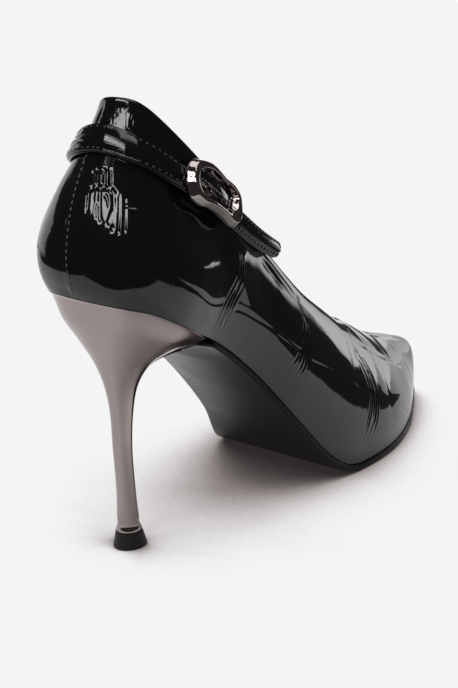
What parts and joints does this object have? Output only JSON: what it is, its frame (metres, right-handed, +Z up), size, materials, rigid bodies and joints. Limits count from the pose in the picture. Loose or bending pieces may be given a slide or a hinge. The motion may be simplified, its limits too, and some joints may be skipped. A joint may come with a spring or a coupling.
{
  "type": "stiletto pump",
  "caption": "Pointed black patent court shoe on a slim polished gunmetal stiletto heel, with a strap round the counter fastened by a lobed ring buckle on the outer side.",
  "frame": {"origin": "middle of the shoe's box, on the floor it stands on", "axes": "+X from heel to toe, +Y to the inner side of the foot, +Z up"},
  "size_m": [0.231, 0.0678, 0.169],
  "materials": {
    "patent_leather": "black patent leather, embossed with large reptile scales, high gloss",
    "strap_leather": "black patent leather, stitched, painted edges",
    "lining": "smooth matte lining leather",
    "sole": "black sealed sole leather, satin",
    "heel_plating": "moulded core with polished gunmetal plating",
    "tip_rubber": "hard black rubber, satin",
    "hardware": "polished gunmetal plating"
  },
  "bodies": {
    "root": {"upper": "patent_leather", "strap": "strap_leather", "insole": "lining", "outsole": "sole", "heel": "heel_plating", "heel_tip": "tip_rubber", "buckle": "hardware", "buckle_prong": "hardware", "strap_eyelet": "hardware"}
  },
  "joints": []
}
